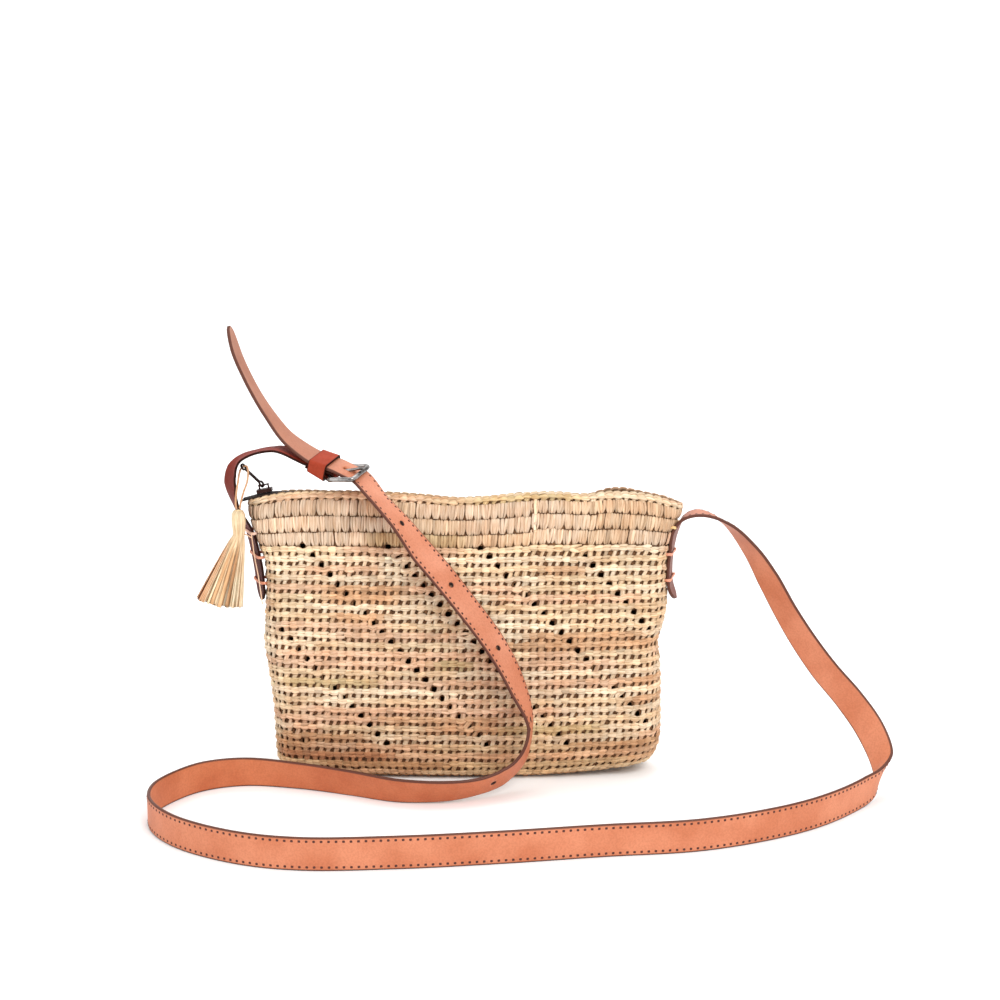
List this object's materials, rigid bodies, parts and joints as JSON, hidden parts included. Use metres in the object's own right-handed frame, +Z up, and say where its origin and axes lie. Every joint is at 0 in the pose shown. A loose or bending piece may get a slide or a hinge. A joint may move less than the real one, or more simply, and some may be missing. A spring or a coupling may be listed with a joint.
{
  "type": "raffia crossbody bag",
  "caption": "Crocheted raffia pouch with a zipped mouth, diagonal eyelet lines, a tassel on the zip pull and a buckled leather shoulder strap laid in a loop on the ground.",
  "frame": {"origin": "middle of the pouch's base, on the surface that it stands on", "axes": "+X along the pouch to the right as seen from its front, +Y towards its back, +Z up"},
  "size_m": [0.4458, 0.1981, 0.2813],
  "materials": {
    "raffia": "crocheted natural raffia, matte with streaks",
    "tassel_raffia": "loose pale raffia strips",
    "zip_tape": "woven dark brown tape",
    "zip_coil": "moulded coil",
    "zip_metal": "dark lacquer",
    "strap_leather": "vegetable tanned, satin, burnished edges",
    "dark_leather": "red brown, satin",
    "buckle_metal": "polished nickel look"
  },
  "bodies": {
    "root": {"bag_body": "raffia", "zip_tape_front": "zip_tape", "zip_tape_back": "zip_tape", "zip_coil": "zip_coil", "zip_slider": "zip_metal", "zip_pull": "zip_metal", "tassel_cord": "tassel_raffia", "tassel": "tassel_raffia", "strap_long": "strap_leather", "strap_short": "dark_leather", "keeper": "dark_leather", "buckle_frame": "buckle_metal", "buckle_prong": "buckle_metal"}
  },
  "joints": []
}
